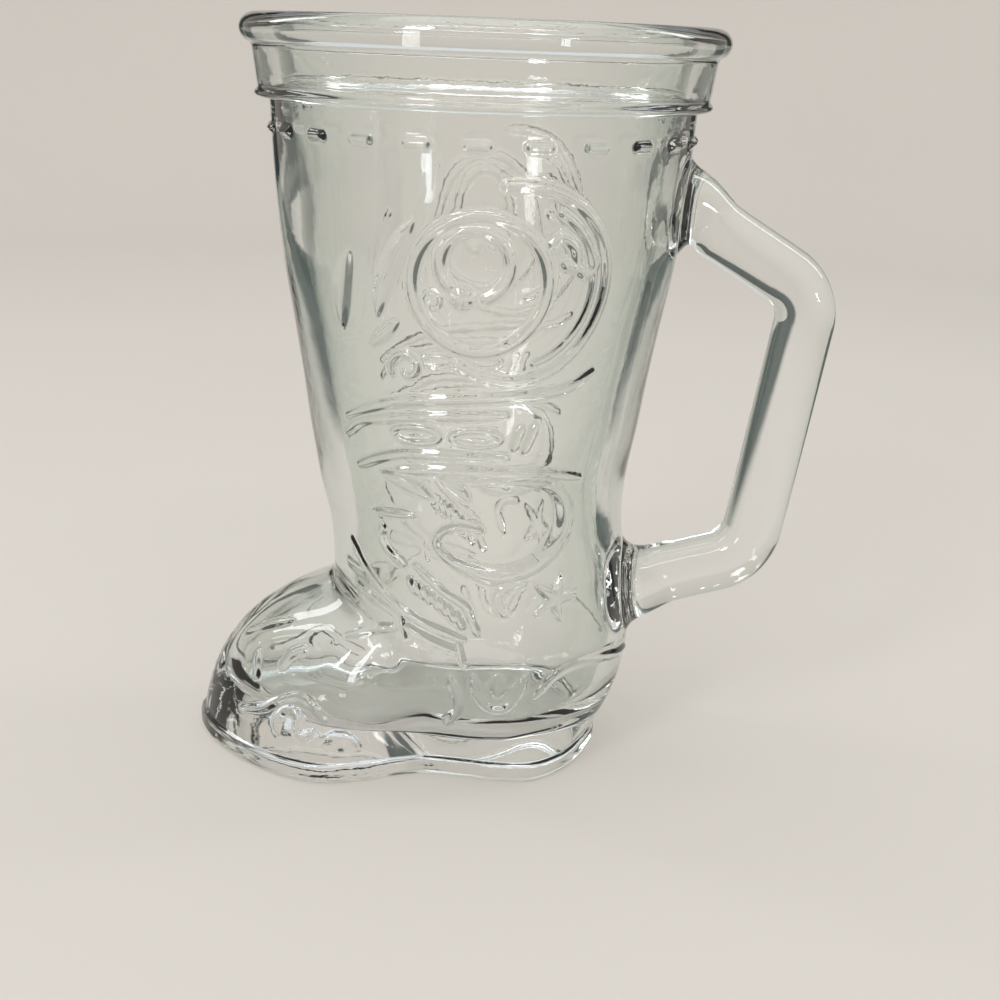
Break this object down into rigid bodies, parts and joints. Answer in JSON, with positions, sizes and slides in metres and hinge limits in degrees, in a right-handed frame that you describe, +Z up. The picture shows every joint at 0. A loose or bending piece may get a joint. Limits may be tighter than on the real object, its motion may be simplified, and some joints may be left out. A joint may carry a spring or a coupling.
{
  "type": "beer boot glass",
  "caption": "Clear pressed-glass drinking mug shaped like a western boot, with a round mouth, a side handle and raised stitched ornament.",
  "frame": {"origin": "on the standing face, under the axis of the round shaft", "axes": "+Z up, the toe towards -X, the handle towards +X, the left side of the boot towards -Y"},
  "size_m": [0.131, 0.095, 0.15],
  "materials": {
    "clear_glass": "clear pressed glass, fire polished",
    "raised_glass": "clear pressed glass, soft raised ornament"
  },
  "bodies": {
    "root": {"rim_bead": "clear_glass", "collar_band": "clear_glass", "collar_ridge": "clear_glass", "shaft": "clear_glass", "vamp": "clear_glass", "heel_counter": "clear_glass", "sole": "clear_glass", "handle_upper_arm": "clear_glass", "handle_grip": "clear_glass", "handle_lower_arm": "clear_glass", "top_stitches": "raised_glass", "medallion_left": "raised_glass", "medallion_right": "raised_glass", "petals_left": "raised_glass", "petals_right": "raised_glass", "belt_lines_left": "raised_glass", "belt_lines_right": "raised_glass", "belt_stitches_left": "raised_glass", "belt_stitches_right": "raised_glass", "leaf_spray_left": "raised_glass", "leaf_spray_right": "raised_glass", "large_scroll_left": "raised_glass", "large_scroll_right": "raised_glass", "spur_strap_left": "raised_glass", "spur_strap_right": "raised_glass", "strap_beads_left": "raised_glass", "strap_beads_right": "raised_glass", "spur_star_left": "raised_glass", "spur_star_right": "raised_glass", "strap_loop_left": "raised_glass", "strap_loop_right": "raised_glass", "ankle_folds_left": "raised_glass", "ankle_folds_right": "raised_glass", "counter_line_left": "raised_glass", "counter_line_right": "raised_glass", "toe_scroll_left": "raised_glass", "toe_scroll_right": "raised_glass", "vamp_creases_left": "raised_glass", "vamp_creases_right": "raised_glass"}
  },
  "joints": []
}
